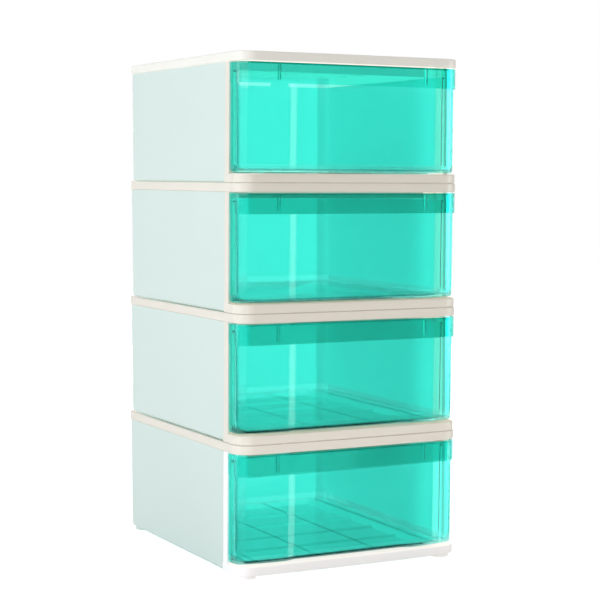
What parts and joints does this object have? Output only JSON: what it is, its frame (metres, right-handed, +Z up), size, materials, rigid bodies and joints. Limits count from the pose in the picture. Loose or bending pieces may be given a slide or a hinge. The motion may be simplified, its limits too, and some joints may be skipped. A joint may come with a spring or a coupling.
{
  "type": "plastic drawer tower",
  "caption": "Stacked moulded drawer tower: frosted cases, cream front frames and top panels, and clear turquoise pull-out drawers with a full-width finger lip.",
  "frame": {"origin": "on the floor under the middle of the tower", "axes": "+Z up, +X to the right seen from the front, the drawers open towards -Y"},
  "size_m": [0.3, 0.342, 0.6085],
  "materials": {
    "frosted_case": "frosted natural polypropylene, faintly mint with the drawer behind it",
    "cream_plastic": "satin cream",
    "clear_drawer": "clear turquoise polystyrene, polished"
  },
  "bodies": {
    "tower": {"case_1": "frosted_case", "front_frame_1": "cream_plastic", "top_panel_1": "cream_plastic", "case_2": "frosted_case", "front_frame_2": "cream_plastic", "top_panel_2": "cream_plastic", "case_3": "frosted_case", "front_frame_3": "cream_plastic", "top_panel_3": "cream_plastic", "case_4": "frosted_case", "front_frame_4": "cream_plastic", "top_panel_4": "cream_plastic"},
    "drawer_1": {"drawer_1": "clear_drawer"},
    "drawer_2": {"drawer_2": "clear_drawer"},
    "drawer_3": {"drawer_3": "clear_drawer"},
    "drawer_4": {"drawer_4": "clear_drawer"}
  },
  "joints": [
    {"name": "drawer_1_slide", "type": "slide", "parent": "tower", "child": "drawer_1", "axis": [0, -1, 0], "range_m": [0, 0.2588]},
    {"name": "drawer_2_slide", "type": "slide", "parent": "tower", "child": "drawer_2", "axis": [0, -1, 0], "range_m": [0, 0.2588]},
    {"name": "drawer_3_slide", "type": "slide", "parent": "tower", "child": "drawer_3", "axis": [0, -1, 0], "range_m": [0, 0.2588]},
    {"name": "drawer_4_slide", "type": "slide", "parent": "tower", "child": "drawer_4", "axis": [0, -1, 0], "range_m": [0, 0.2588]}
  ]
}
